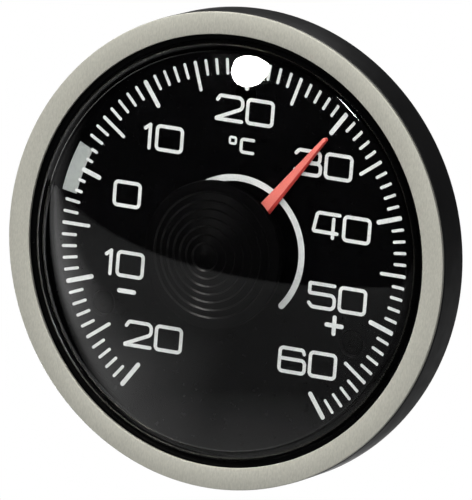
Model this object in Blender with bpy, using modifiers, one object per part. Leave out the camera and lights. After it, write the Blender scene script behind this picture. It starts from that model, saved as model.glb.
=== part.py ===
"""Dial thermometer: a thin round instrument that is stuck to a flat surface by a foam pad.

A bimetal coil stands in front of the dial, inside a ridged hub. Its inner end is held by a
stud in the case, and its outer end turns the hub and the red pointer.

Every piece is modelled on the dial's own axes: x to the right, y up, z out of the dial, with
z = 0 on the mounting face. One parent empty stands them up, so that the dial faces -Y.
Sizes are in millimetres here, and turn into metres as the meshes are made.
"""

import math

import bmesh
import bpy
from mathutils import Matrix, Vector

MM = 0.001

# Clearances
SEAT_GAP = 0.05  # between two pieces that rest on each other
RUNNING_GAP = 0.06  # radial, round a journal that turns
WALL_GAP = 0.15  # round a ring that drops into the case

# Case and bezel
CASE_R = 24.76
BORE_R = 22.55
CASE_BACK_Z = 1.0
FLOOR_T = 1.0
RIM_Z = 5.46
EDGE_BREAK = 0.25
BEZEL_R = 25.0
BEZEL_HOLE_R = 22.42
BEZEL_T = 0.34
BOND_T = 0.12
PAD_R = 16.0

# Dial
DIAL_Z = 3.68  # the printed face
DIAL_T = 0.8
DIAL_R = BORE_R - WALL_GAP
DIAL_HOLE_R = 3.2
RIVET_CIRCLE_R = 16.1
RIVET_ANGLES = (0.0, 118.4, -118.4)  # clockwise from the top
RIVET_HEAD_R = 1.15
RIVET_HEAD_T = 0.32
RIVET_SUNK = 0.16  # of the head below the printed face
RIVET_SHANK_R = 0.5
DIAL_BOSS_R = 1.9

# Crystal and the rings that hold it
SPACER_T = 0.44
GASKET_T = 0.24
FLANGE_T = 0.47
SNAP_RING_T = 0.3
CRYSTAL_R = 21.75
CRYSTAL_APEX_Z = 12.0
CRYSTAL_T = 1.0
DOME_R = 44.0
SHOULDER_R = 1.2

# Stud: what the coil is fixed to, turned from the back to set the reading
STUD_HEAD_R = 2.2
STUD_R = 1.2
STUD_BOSS_R = 3.0
STUD_BOSS_Z = 2.5
COLLET_SEAT_R = 0.8
COLLET_SEAT_Z = 4.4
COLLET_R = 1.5
PIVOT_R = 0.6
PIVOT_Z = 6.58
STUD_TOP_Z = 8.05

# Hub, coil and pointer
HUB_LIFT = 0.4  # above the dial
DRUM_R = 6.2
DRUM_WALL_T = 0.7
DRUM_WEB_T = 0.6
DRUM_TOP_Z = 7.6
CAP_R = 7.63
CAP_FACE_Z = 8.53  # the plain outer band of the cap
RIDGE_COUNT = 7
RIDGE_PITCH = 0.84
RIDGE_OUTER_R = 6.45
RIDGE_RISE = 0.29
COIL_STRIP_T = 0.2
COIL_PITCH = 0.56
COIL_TURNS = 5
COIL_BOTTOM_Z = 4.6
COIL_TOP_Z = 6.4
PEG_R = 0.3
POINTER_DEG = 37.2  # clockwise from the top, at 30 degrees on the scale
POINTER_TIP_R = 16.7
POINTER_ROOT_W = 1.4
POINTER_TIP_W = 0.42
POINTER_T = 0.5
POINTER_LIFT = 0.52  # above the dial

# Facets round a turned piece
LARGE, MEDIUM, SMALL = 48, 40, 16


# ---------------------------------------------------------------- helpers


def clear_scene():
    for obj in list(bpy.data.objects):
        bpy.data.objects.remove(obj, do_unlink=True)


def collection(name):
    found = bpy.data.collections.new(name)
    bpy.context.scene.collection.children.link(found)
    return found


def material(name, colour, roughness, metallic=0.0, alpha=1.0):
    made = bpy.data.materials.new(name)
    made.use_nodes = True
    shader = made.node_tree.nodes["Principled BSDF"]
    shader.inputs["Base Color"].default_value = (*colour, 1.0)
    shader.inputs["Roughness"].default_value = roughness
    shader.inputs["Metallic"].default_value = metallic
    shader.inputs["Alpha"].default_value = alpha
    made.diffuse_color = (*colour, alpha)
    return made


def dial_point(radius, degrees):
    """A point on the dial, with the angle clockwise from the top."""
    turn = math.radians(degrees)
    return radius * math.sin(turn), radius * math.cos(turn)


def arc(centre_r, centre_z, radius, start, end, steps):
    """Points (r, z) on a circle, with angles in degrees from +r towards +z."""
    angles = [math.radians(start + (end - start) * i / steps) for i in range(steps + 1)]
    return [(centre_r + radius * math.cos(a), centre_z + radius * math.sin(a)) for a in angles]


def add(name, mesh, finish, parent, where):
    obj = bpy.data.objects.new(name, mesh)
    where.objects.link(obj)
    obj.parent = parent
    if finish:
        mesh.materials.append(finish)
    return obj


def turned(name, profile, facets, finish, parent, where):
    """A turned piece. The profile (r, z) runs down its outer side, from top to bottom."""
    mesh = bpy.data.meshes.new(name)
    points = [(r * MM, 0.0, z * MM) for r, z in profile]
    edges = [(i, i + 1) for i in range(len(points) - 1)]
    on_axis = profile[0][0] == 0 and profile[-1][0] == 0
    if not on_axis:
        edges.append((len(points) - 1, 0))
    mesh.from_pydata(points, edges, [])
    obj = add(name, mesh, finish, parent, where)
    screw = obj.modifiers.new("turn", "SCREW")
    screw.axis = "Z"
    screw.angle = math.tau
    screw.steps = screw.render_steps = facets
    screw.use_merge_vertices = True
    screw.merge_threshold = 1e-6
    return obj


def ring(inner_r, outer_r, bottom_z, top_z):
    """The profile of a plain flat ring."""
    return [(inner_r, top_z), (outer_r, top_z), (outer_r, bottom_z), (inner_r, bottom_z)]


def rod(radius, bottom_z, top_z):
    """The profile of a plain round rod."""
    return [(0, top_z), (radius, top_z), (radius, bottom_z), (0, bottom_z)]


def hide_cutter(obj):
    obj.hide_render = True
    obj.display_type = "WIRE"
    return obj


def box(name, size, centre, parent, where, turn=0.0):
    """A block of the given size, turned clockwise about the dial's axis."""
    bm = bmesh.new()
    bmesh.ops.create_cube(bm, size=1.0)
    shape = Matrix.Translation(Vector(centre) * MM) @ Matrix.Diagonal((*(Vector(size) * MM), 1.0))
    bmesh.ops.transform(bm, matrix=Matrix.Rotation(-math.radians(turn), 4, "Z") @ shape, verts=bm.verts)
    mesh = bpy.data.meshes.new(name)
    bm.to_mesh(mesh)
    bm.free()
    return add(name, mesh, None, parent, where)


def combine(obj, tool, operation):
    boolean = obj.modifiers.new(operation.lower(), "BOOLEAN")
    boolean.operation = operation
    boolean.solver = "EXACT"
    boolean.object = tool


def settle(obj):
    """Keeps the shape that the modifiers make, shaded smooth with its edges sharp."""
    graph = bpy.context.evaluated_depsgraph_get()
    mesh = bpy.data.meshes.new_from_object(obj.evaluated_get(graph))
    bm = bmesh.new()
    bm.from_mesh(mesh)
    bmesh.ops.remove_doubles(bm, verts=bm.verts, dist=1e-7)
    bm.to_mesh(mesh)
    bm.free()
    mesh.name = obj.name
    mesh.shade_smooth()
    mesh.set_sharp_from_angle(angle=math.radians(28))
    obj.modifiers.clear()
    obj.data = mesh


# ---------------------------------------------------------------- case


def make_case(finish, axis, parts, cutters):
    back, floor = CASE_BACK_Z, CASE_BACK_Z + FLOOR_T
    ledge_z = DIAL_Z - DIAL_T - SEAT_GAP  # the dial rests on this ledge
    groove_z = snap_ring_z() - SEAT_GAP
    profile = [
        (BORE_R, RIM_Z),
        (CASE_R - EDGE_BREAK, RIM_Z),
        (CASE_R, RIM_Z - EDGE_BREAK),
        (CASE_R, back + EDGE_BREAK),
        (CASE_R - EDGE_BREAK, back),
        (STUD_HEAD_R + 0.2, back),  # the recess for the stud's head
        (STUD_HEAD_R + 0.2, back + 0.62),
        (STUD_R + RUNNING_GAP, back + 0.62),
        (STUD_R + RUNNING_GAP, STUD_BOSS_Z),
        (STUD_BOSS_R, STUD_BOSS_Z),
        (STUD_BOSS_R, floor),
        (BORE_R - 1.2, floor),
        (BORE_R - 1.2, ledge_z),
        (BORE_R, ledge_z),
        (BORE_R, groove_z),  # the groove for the snap ring
        (BORE_R + 0.3, groove_z),
        (BORE_R + 0.3, groove_z + SNAP_RING_T + 2 * SEAT_GAP),
        (BORE_R, groove_z + SNAP_RING_T + 2 * SEAT_GAP),
    ]
    case = turned("case", profile, LARGE, finish, axis, parts)
    for number, degrees in enumerate(RIVET_ANGLES, 1):
        boss = turned(f"boss_{number}", rod(DIAL_BOSS_R, floor - 0.3, ledge_z), SMALL, None, axis, cutters)
        hole = turned(
            f"boss_hole_{number}", rod(RIVET_SHANK_R + 0.1, floor - 0.5, DIAL_Z), SMALL, None, axis, cutters
        )
        for tool, operation in ((boss, "UNION"), (hole, "DIFFERENCE")):
            x, y = dial_point(RIVET_CIRCLE_R, degrees)
            tool.location = (x * MM, y * MM, 0)
            combine(case, hide_cutter(tool), operation)


def make_bezel(aluminium, film, axis, parts):
    bond_z = RIM_Z + SEAT_GAP
    bezel_z = bond_z + BOND_T + SEAT_GAP
    turned("bezel_bond_film", ring(BORE_R + 0.1, CASE_R - 0.4, bond_z, bond_z + BOND_T), LARGE, film, axis, parts)
    top = bezel_z + BEZEL_T
    lip = 0.06  # the rolled edge of the punched ring
    profile = [
        (BEZEL_HOLE_R, top - lip),
        (BEZEL_HOLE_R + lip, top),
        (BEZEL_R - lip, top),
        (BEZEL_R, top - lip),
        (BEZEL_R, bezel_z),
        (BEZEL_HOLE_R, bezel_z),
    ]
    turned("bezel_ring", profile, LARGE, aluminium, axis, parts)


def make_mounting_pad(foam, axis, parts):
    top = CASE_BACK_Z - SEAT_GAP
    profile = [(0, top), (PAD_R, top), (PAD_R, 0), (0, 0)]
    turned("mounting_pad", profile, LARGE, foam, axis, parts)


# ---------------------------------------------------------------- dial


def make_dial(finish, axis, parts, cutters):
    bottom = DIAL_Z - DIAL_T
    dial = turned("dial_plate", ring(DIAL_HOLE_R, DIAL_R, bottom, DIAL_Z), LARGE, finish, axis, parts)
    seat_z = DIAL_Z - RIVET_SUNK - RIVET_HEAD_T - SEAT_GAP
    stepped_hole = [
        (0, DIAL_Z + 1),
        (RIVET_HEAD_R + 0.1, DIAL_Z + 1),
        (RIVET_HEAD_R + 0.1, seat_z),
        (RIVET_SHANK_R + 0.12, seat_z),
        (RIVET_SHANK_R + 0.12, bottom - 1),
        (0, bottom - 1),
    ]
    for number, degrees in enumerate(RIVET_ANGLES, 1):
        hole = turned(f"rivet_hole_{number}", stepped_hole, SMALL, None, axis, cutters)
        x, y = dial_point(RIVET_CIRCLE_R, degrees)
        hole.location = (x * MM, y * MM, 0)
        combine(dial, hide_cutter(hole), "DIFFERENCE")


def make_rivets(finish, axis, parts):
    top = DIAL_Z - RIVET_SUNK
    under_head = top - RIVET_HEAD_T
    profile = [
        (0, top),
        (RIVET_HEAD_R - 0.2, top),
        (RIVET_HEAD_R, top - 0.15),
        (RIVET_HEAD_R, under_head),
        (RIVET_SHANK_R, under_head),
        (RIVET_SHANK_R, CASE_BACK_Z + 0.6),
        (0, CASE_BACK_Z + 0.6),
    ]
    for number, degrees in enumerate(RIVET_ANGLES, 1):
        rivet = turned(f"dial_rivet_{number}", profile, SMALL, finish, axis, parts)
        x, y = dial_point(RIVET_CIRCLE_R, degrees)
        rivet.location = (x * MM, y * MM, 0)


# ---------------------------------------------------------------- crystal


def spacer_z():
    return DIAL_Z + SEAT_GAP


def gasket_z():
    return spacer_z() + SPACER_T + SEAT_GAP


def flange_z():
    return gasket_z() + GASKET_T + SEAT_GAP


def snap_ring_z():
    return flange_z() + FLANGE_T + SEAT_GAP


def dome(apex_z, sphere_r, wall_r, shoulder_r, shoulder_steps, dome_steps):
    """Points from the apex down to the wall: a spherical cap, then a rounded shoulder."""
    sphere_z = apex_z - sphere_r
    reach = sphere_r - shoulder_r
    shoulder_centre_r = wall_r - shoulder_r
    rise = math.sqrt(reach**2 - shoulder_centre_r**2)
    tangent = math.degrees(math.atan2(rise, shoulder_centre_r))
    cap = arc(0, sphere_z, sphere_r, 90, tangent, dome_steps)
    cap[0] = (0, apex_z)
    return cap + arc(shoulder_centre_r, sphere_z + rise, shoulder_r, tangent, 0, shoulder_steps)[1:]


def make_crystal(clear, axis, parts):
    outer = dome(CRYSTAL_APEX_Z, DOME_R, CRYSTAL_R, SHOULDER_R, 3, 6)
    inner = dome(
        CRYSTAL_APEX_Z - CRYSTAL_T, DOME_R - CRYSTAL_T, CRYSTAL_R - CRYSTAL_T, SHOULDER_R - 0.7, 2, 5
    )
    flange_r = BORE_R - WALL_GAP
    flange = [
        (CRYSTAL_R, flange_z() + FLANGE_T),
        (flange_r, flange_z() + FLANGE_T),
        (flange_r, flange_z()),
        (CRYSTAL_R - CRYSTAL_T, flange_z()),
    ]
    turned("crystal", outer + flange + inner[::-1], LARGE, clear, axis, parts)


def make_crystal_rings(black, rubber, axis, parts):
    outer_r = BORE_R - WALL_GAP
    turned("crystal_spacer_ring", ring(21.1, outer_r, spacer_z(), spacer_z() + SPACER_T), LARGE, black, axis, parts)
    turned("crystal_gasket", ring(21.2, outer_r, gasket_z(), gasket_z() + GASKET_T), LARGE, rubber, axis, parts)
    bottom = snap_ring_z()
    snap_ring = ring(CRYSTAL_R + 0.12, BORE_R + 0.2, bottom, bottom + SNAP_RING_T)
    turned("crystal_snap_ring", snap_ring, LARGE, black, axis, parts)


# ---------------------------------------------------------------- stud and coil


def make_stud(brass, axis, parts, cutters):
    head_z = CASE_BACK_Z + 0.1
    head_top = CASE_BACK_Z + 0.56
    clip_z, pivot_clip_z = stud_clip_z() - 0.03, pivot_clip_z_at() - 0.03
    profile = [
        (0, STUD_TOP_Z),
        (PIVOT_R - 0.1, STUD_TOP_Z),
        (PIVOT_R, STUD_TOP_Z - 0.1),
        (PIVOT_R, pivot_clip_z + 0.24),
        (PIVOT_R - 0.18, pivot_clip_z + 0.24),
        (PIVOT_R - 0.18, pivot_clip_z),
        (PIVOT_R, pivot_clip_z),
        (PIVOT_R, PIVOT_Z),
        (COLLET_SEAT_R, PIVOT_Z),
        (COLLET_SEAT_R, COLLET_SEAT_Z),
        (STUD_R, COLLET_SEAT_Z),
        (STUD_R, clip_z + 0.26),
        (STUD_R - 0.3, clip_z + 0.26),
        (STUD_R - 0.3, clip_z),
        (STUD_R, clip_z),
        (STUD_R, head_top),
        (STUD_HEAD_R, head_top),
        (STUD_HEAD_R, head_z),
        (0, head_z),
    ]
    stud = turned("calibration_stud", profile, SMALL, brass, axis, parts)
    slot = box("driver_slot", (6.0, 0.6, 0.5), (0, 0, head_z), axis, cutters)
    combine(stud, hide_cutter(slot), "DIFFERENCE")


def stud_clip_z():
    return STUD_BOSS_Z + 0.32


def pivot_clip_z_at():
    return DRUM_TOP_Z + 0.12


def open_clip(name, inner_r, outer_r, bottom, thick, finish, parent, parts, cutters):
    """A sprung retaining clip: a flat ring with a mouth on one side."""
    clip = turned(name, ring(inner_r, outer_r, bottom, bottom + thick), SMALL, finish, parent, parts)
    mouth_w = 1.5 * inner_r
    mouth = box(
        f"{name}_mouth", (mouth_w, 2 * outer_r, 4 * thick), (0, -outer_r, bottom), parent, cutters
    )
    combine(clip, hide_cutter(mouth), "DIFFERENCE")


def make_stud_fittings(steel, brass, axis, parts, cutters):
    washer_z = STUD_BOSS_Z + SEAT_GAP
    dish = 0.06  # the washer is sprung by this much
    washer = [
        (STUD_R + RUNNING_GAP, washer_z + 0.14 + dish),
        (STUD_HEAD_R, washer_z + 0.14),
        (STUD_HEAD_R, washer_z),
        (STUD_R + RUNNING_GAP, washer_z + dish),
    ]
    turned("stud_friction_washer", washer, SMALL, steel, axis, parts)
    open_clip("stud_retaining_clip", STUD_R - 0.24, 2.1, stud_clip_z(), 0.2, steel, axis, parts, cutters)
    collet = ring(COLLET_SEAT_R + 0.03, COLLET_R, COLLET_SEAT_Z + SEAT_GAP, PIVOT_Z - 0.03)
    turned("coil_collet", collet, SMALL, brass, axis, parts)


def make_coil(bimetal, axis, parts):
    """A flat strip wound outwards from the collet, with a hook at its end for the drum's peg."""
    first_r = COLLET_R + COIL_STRIP_T / 2 + 0.1
    steps = 20 * COIL_TURNS
    last_r = first_r + COIL_PITCH * COIL_TURNS
    path = []
    for i in range(steps + 1):
        radius = first_r + (last_r - first_r) * i / steps
        path.append(dial_point(radius, peg_deg() - 360 * COIL_TURNS * (1 - i / steps)))
    hook_deg = peg_deg() + math.degrees((PEG_R + COIL_STRIP_T / 2 + 0.1) / peg_circle_r())
    path.append(dial_point(last_r, hook_deg))
    path.append(dial_point(peg_circle_r() + 0.1, hook_deg))
    bm = bmesh.new()
    verts = [bm.verts.new((x * MM, y * MM, COIL_BOTTOM_Z * MM)) for x, y in path]
    edges = [bm.edges.new(pair) for pair in zip(verts, verts[1:])]
    made = bmesh.ops.extrude_edge_only(bm, edges=edges)["geom"]
    raised = [v for v in made if isinstance(v, bmesh.types.BMVert)]
    bmesh.ops.translate(bm, verts=raised, vec=(0, 0, (COIL_TOP_Z - COIL_BOTTOM_Z) * MM))
    mesh = bpy.data.meshes.new("bimetal_coil")
    bm.to_mesh(mesh)
    bm.free()
    coil = add("bimetal_coil", mesh, bimetal, axis, parts)
    thickness = coil.modifiers.new("strip", "SOLIDIFY")
    thickness.thickness = COIL_STRIP_T * MM
    thickness.offset = 0.0


# ---------------------------------------------------------------- hub and pointer


def peg_deg():
    return POINTER_DEG + 180


def peg_circle_r():
    coil_outer_r = COLLET_R + COIL_STRIP_T + 0.1 + COIL_PITCH * COIL_TURNS
    return coil_outer_r + PEG_R + 0.1


def make_drum(black, brass, pivot, parts, cutters):
    inner_r = DRUM_R - DRUM_WALL_T
    bush_r = 1.35
    bottom, web_z = DIAL_Z + HUB_LIFT, DRUM_TOP_Z - DRUM_WEB_T
    profile = [
        (bush_r + 0.04, DRUM_TOP_Z),
        (DRUM_R, DRUM_TOP_Z),
        (DRUM_R, bottom),
        (inner_r, bottom),
        (inner_r, web_z),
        (bush_r + 0.04, web_z),
    ]
    drum = turned("hub_drum", profile, MEDIUM, black, pivot, parts)
    pointer_top = DIAL_Z + POINTER_LIFT + POINTER_T
    notch_size = (POINTER_ROOT_W + 0.2, 3 * DRUM_WALL_T, pointer_top + 0.1 - bottom + 1)
    notch_centre = (0, DRUM_R, (pointer_top + 0.1 + bottom - 1) / 2)
    notch = box("pointer_notch", notch_size, notch_centre, pivot, cutters, POINTER_DEG)
    combine(drum, hide_cutter(notch), "DIFFERENCE")

    peg_hole = turned("peg_hole", rod(PEG_R + 0.05, COIL_TOP_Z, DRUM_TOP_Z + 1), SMALL, None, pivot, cutters)
    peg = turned("coil_anchor_peg", rod(PEG_R, COIL_BOTTOM_Z + 0.1, DRUM_TOP_Z - 0.1), 12, brass, pivot, parts)
    x, y = dial_point(peg_circle_r(), peg_deg())
    peg_hole.location = peg.location = (x * MM, y * MM, 0)
    combine(drum, hide_cutter(peg_hole), "DIFFERENCE")

    flange_top = web_z - SEAT_GAP
    bush = [
        (PIVOT_R + RUNNING_GAP, DRUM_TOP_Z + 0.02),
        (bush_r, DRUM_TOP_Z + 0.02),
        (bush_r, flange_top),
        (1.9, flange_top),
        (1.9, flange_top - 0.17),
        (PIVOT_R + RUNNING_GAP, flange_top - 0.17),
    ]
    turned("drum_bush", bush, SMALL, brass, pivot, parts)


def make_pivot_fittings(steel, axis, pivot, parts, cutters):
    washer = ring(PIVOT_R + RUNNING_GAP, 1.3, PIVOT_Z + 0.04, PIVOT_Z + 0.16)
    turned("thrust_washer", washer, SMALL, steel, pivot, parts)
    open_clip("pivot_clip", PIVOT_R - 0.13, 1.2, pivot_clip_z_at(), 0.18, steel, axis, parts, cutters)


def make_cap(black, pivot, parts):
    """A disc that overhangs the drum, its face stepped up to the middle in round ridges."""
    underside = DRUM_TOP_Z + SEAT_GAP
    recess_r, recess_z = 2.0, STUD_TOP_Z + 0.35
    stairs = []
    for step in range(RIDGE_COUNT):
        radius = RIDGE_OUTER_R - RIDGE_PITCH * step
        base = CAP_FACE_Z + RIDGE_RISE * step
        stairs = [(radius - 0.06, base + RIDGE_RISE), (radius, base)] + stairs
    apex = CAP_FACE_Z + RIDGE_RISE * RIDGE_COUNT
    rim = [
        (CAP_R - 0.12, CAP_FACE_Z),
        (CAP_R, CAP_FACE_Z - 0.12),
        (CAP_R, underside + 0.2),
        (CAP_R - 0.2, underside),
    ]
    recess = [(recess_r, underside), (recess_r, recess_z), (0, recess_z)]
    turned("hub_cap", [(0, apex)] + stairs + rim + recess, MEDIUM, black, pivot, parts)


def make_pointer(red, pivot, parts):
    """A tapering blade. Its root is let into a notch in the drum."""
    root_r = DRUM_R - DRUM_WALL_T + 0.15
    half_root, half_tip = POINTER_ROOT_W / 2, POINTER_TIP_W / 2
    tip = [
        (half_tip * math.cos(a), POINTER_TIP_R - half_tip + half_tip * math.sin(a))
        for a in (math.pi * i / 6 for i in range(7))
    ]
    outline = [(-half_root, root_r), (half_root, root_r)] + tip
    ground = 0.14  # the flank ground off each top edge
    bottom = DIAL_Z + POINTER_LIFT
    bm = bmesh.new()
    face = bm.faces.new([bm.verts.new((x * MM, y * MM, bottom * MM)) for x, y in outline])
    face.normal_flip()
    top = bmesh.ops.extrude_face_region(bm, geom=[face])["geom"]
    top_verts = [v for v in top if isinstance(v, bmesh.types.BMVert)]
    bmesh.ops.translate(bm, verts=top_verts, vec=(0, 0, POINTER_T * MM))
    top_edges = [e for e in bm.edges if all(v in top_verts for v in e.verts)]
    bmesh.ops.bevel(
        bm, geom=top_edges, offset=ground * MM, offset_type="OFFSET", segments=1, affect="EDGES"
    )
    bmesh.ops.recalc_face_normals(bm, faces=bm.faces)
    bmesh.ops.rotate(bm, verts=bm.verts, matrix=Matrix.Rotation(-math.radians(POINTER_DEG), 3, "Z"))
    mesh = bpy.data.meshes.new("pointer_blade")
    bm.to_mesh(mesh)
    bm.free()
    add("pointer_blade", mesh, red, pivot, parts)


# ---------------------------------------------------------------- assembly


def main():
    clear_scene()
    parts = collection("dial_thermometer")
    cutters = collection("cutters")

    axis = bpy.data.objects.new("dial_axis", None)
    parts.objects.link(axis)
    axis.rotation_euler = (math.radians(90), 0, 0)
    pivot = bpy.data.objects.new("pointer_pivot", None)
    parts.objects.link(pivot)
    pivot.parent = axis

    case_black = material("case_black", (0.012, 0.012, 0.013), 0.55)
    dial_black = material("dial_black", (0.006, 0.006, 0.007), 0.6)
    hub_black = material("hub_black", (0.014, 0.014, 0.015), 0.38)
    brushed = material("brushed_aluminium", (0.62, 0.61, 0.56), 0.34, metallic=1.0)
    acrylic = material("clear_acrylic", (0.98, 0.98, 0.98), 0.03, alpha=0.15)
    pointer_red = material("pointer_red", (0.80, 0.13, 0.10), 0.45)
    rubber = material("black_rubber", (0.02, 0.02, 0.02), 0.8)
    foam = material("grey_foam", (0.10, 0.10, 0.11), 0.95)
    film = material("adhesive_film", (0.05, 0.05, 0.05), 0.5)
    brass = material("brass", (0.78, 0.57, 0.26), 0.3, metallic=1.0)
    steel = material("spring_steel", (0.55, 0.55, 0.57), 0.32, metallic=1.0)
    bimetal = material("bimetal_strip", (0.66, 0.60, 0.52), 0.35, metallic=1.0)

    make_case(case_black, axis, parts, cutters)
    make_bezel(brushed, film, axis, parts)
    make_mounting_pad(foam, axis, parts)
    make_dial(dial_black, axis, parts, cutters)
    make_rivets(case_black, axis, parts)
    make_crystal(acrylic, axis, parts)
    make_crystal_rings(case_black, rubber, axis, parts)
    make_stud(brass, axis, parts, cutters)
    make_stud_fittings(steel, brass, axis, parts, cutters)
    make_coil(bimetal, axis, parts)
    make_drum(hub_black, brass, pivot, parts, cutters)
    make_pivot_fittings(steel, axis, pivot, parts, cutters)
    make_cap(hub_black, pivot, parts)
    make_pointer(pointer_red, pivot, parts)

    bpy.context.view_layer.update()
    for obj in [o for o in parts.objects if o.type == "MESH"]:
        settle(obj)


main()
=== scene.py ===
"""Looks of the dial thermometer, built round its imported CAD.

Pieces are modelled on the dial's own axes in millimetres: x to the right, y up, z out of the
dial, with z = 0 on the mounting face. at() turns such a point into the row frame, in metres.
"""

import math

import bmesh
import bpy
from mathutils import Matrix, Vector, geometry


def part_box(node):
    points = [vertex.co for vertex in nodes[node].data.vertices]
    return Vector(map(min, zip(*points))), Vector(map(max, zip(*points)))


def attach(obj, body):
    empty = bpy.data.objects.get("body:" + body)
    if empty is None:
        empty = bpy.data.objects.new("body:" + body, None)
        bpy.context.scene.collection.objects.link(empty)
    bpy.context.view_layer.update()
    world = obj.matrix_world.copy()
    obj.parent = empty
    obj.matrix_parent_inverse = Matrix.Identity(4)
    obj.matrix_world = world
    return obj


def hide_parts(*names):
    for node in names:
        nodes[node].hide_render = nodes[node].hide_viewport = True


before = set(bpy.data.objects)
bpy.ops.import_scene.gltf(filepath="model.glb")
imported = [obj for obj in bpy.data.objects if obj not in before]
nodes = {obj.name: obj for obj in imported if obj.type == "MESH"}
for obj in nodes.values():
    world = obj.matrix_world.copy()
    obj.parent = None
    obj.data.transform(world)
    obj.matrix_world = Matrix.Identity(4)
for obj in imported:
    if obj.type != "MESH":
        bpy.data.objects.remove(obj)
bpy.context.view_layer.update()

MM = 0.001
WELD = 1e-8  # metres: closer points are one point
ON_AXIS = 1e-9  # millimetres
SMOOTH_DEG = 30.0  # edges sharper than this stay sharp


def heights(node):
    """The lowest and highest z of a CAD node, in millimetres."""
    low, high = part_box(node)
    return -high.y / MM, -low.y / MM


def radius(node):
    """The radius of a CAD node that is round about the dial's axis, in millimetres."""
    low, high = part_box(node)
    return (high.x - low.x) / 2 / MM


CASE_R = radius("case")
CASE_BACK, CASE_RIM = heights("case")
BEZEL_R = radius("bezel_ring") - 0.27  # trimmed to the outline seen
BEZEL_BACK, BEZEL_FACE = heights("bezel_ring")
BEZEL_HOLE_R = 22.42
BORE_R = 22.55
PAD_R = radius("mounting_pad")
PAD_BACK, PAD_FRONT = heights("mounting_pad")
DIAL_R = radius("dial_plate")
DIAL_BACK, DIAL_FACE = heights("dial_plate")
DIAL_HOLE_R = 3.2
CAP_R = radius("hub_cap")
CAP_BACK, CAP_APEX = heights("hub_cap")
DRUM_R = radius("hub_drum")
DRUM_BACK, DRUM_FRONT = heights("hub_drum")
CRYSTAL_FLANGE_Z, CRYSTAL_APEX = heights("crystal")
POINTER_BACK, POINTER_TOP = heights("pointer_blade")

DEGREES_PER_MARK = 3.6
POINTER_DEG = 37.2  # clockwise from the top
RIVET_CIRCLE_R = 16.1
RIVET_DEGREES = (0.0, 118.4, -118.4)

FINEST, FINE, SMALL = 256, 192, 40  # facets round a turned piece


def at(x, y, z):
    """A point on the dial's axes, in millimetres, as one in the row frame, in metres."""
    return Vector((x, -z, y)) * MM


def clock(r, degrees):
    """A point on the dial, with the angle clockwise from the top."""
    turn = math.radians(degrees)
    return r * math.sin(turn), r * math.cos(turn)


# ---------------------------------------------------------------- mesh helpers


def rounded(corners, closed=False, step_deg=14.0):
    """The path through the corners (x, y, fillet), each rounded with its own fillet."""
    straight, most_of_edge = math.radians(179), 0.49
    path = []
    count = len(corners)
    for i, (x, y, fillet) in enumerate(corners):
        here = Vector((x, y))
        if fillet <= 0 or (not closed and i in (0, count - 1)):
            path.append((x, y))
            continue
        before = Vector(corners[i - 1][:2]) - here
        after = Vector(corners[(i + 1) % count][:2]) - here
        opening = before.angle(after)
        if opening > straight:
            path.append((x, y))
            continue
        reach = fillet / math.tan(opening / 2)
        longest = most_of_edge * min(before.length, after.length)
        if reach > longest:
            reach, fillet = longest, longest * math.tan(opening / 2)
        start = here + before.normalized() * reach
        end = here + after.normalized() * reach
        centre = here + (before.normalized() + after.normalized()).normalized() * (
            fillet / math.sin(opening / 2)
        )
        sweep = (start - centre).angle_signed(end - centre)
        steps = max(2, round(abs(math.degrees(sweep)) / step_deg))
        for k in range(steps + 1):
            turn = Matrix.Rotation(-sweep * k / steps, 2)
            path.append(tuple(centre + turn @ (start - centre)))
    return path


def declare(obj, body, replaced):
    """Says which body a piece rides on and which nodes it stands for."""
    if body:
        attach(obj, body)
    if replaced:
        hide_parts(*replaced)


def finish_piece(name, bm, finish, body, replaced=(), smooth=SMOOTH_DEG):
    """Makes an object of the mesh, smooth except where an edge is sharper than smooth."""
    bmesh.ops.remove_doubles(bm, verts=bm.verts, dist=WELD)
    bmesh.ops.recalc_face_normals(bm, faces=bm.faces)
    mesh = bpy.data.meshes.new(name)
    bm.to_mesh(mesh)
    bm.free()
    mesh.shade_smooth()
    mesh.set_sharp_from_angle(angle=math.radians(smooth))
    obj = bpy.data.objects.new(name, mesh)
    bpy.context.scene.collection.objects.link(obj)
    mesh.materials.append(finish)
    declare(obj, body, replaced)
    return obj


def lathe(bm, profile, facets, centre=(0.0, 0.0)):
    """Turns the profile (r, z) round the dial's axis, or round another centre."""
    rings = []
    for r, z in profile:
        if r <= ON_AXIS:
            rings.append([bm.verts.new(at(*centre, z))])
            continue
        rings.append(
            [
                bm.verts.new(at(centre[0] + x, centre[1] + y, z))
                for x, y in (clock(r, 360 * i / facets) for i in range(facets))
            ]
        )
    pairs = list(zip(rings, rings[1:]))
    if len(rings[0]) > 1 and len(rings[-1]) > 1:
        pairs.append((rings[-1], rings[0]))
    for first, second in pairs:
        for i in range(facets):
            j = (i + 1) % facets
            corners = [first[i % len(first)], first[j % len(first)]]
            corners += [second[j % len(second)], second[i % len(second)]]
            unique = list(dict.fromkeys(corners))
            if len(unique) > 2:
                bm.faces.new(unique)


def turned(name, profile, facets, finish, body, replaced=(), tools=()):
    """A turned piece, with its tools (operation, mesh builder) cut from it or added to it."""
    bm = bmesh.new()
    lathe(bm, profile, facets)
    obj = finish_piece(name, bm, finish, None)
    apply_tools(obj, tools)
    declare(obj, body, replaced)
    return obj


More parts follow.
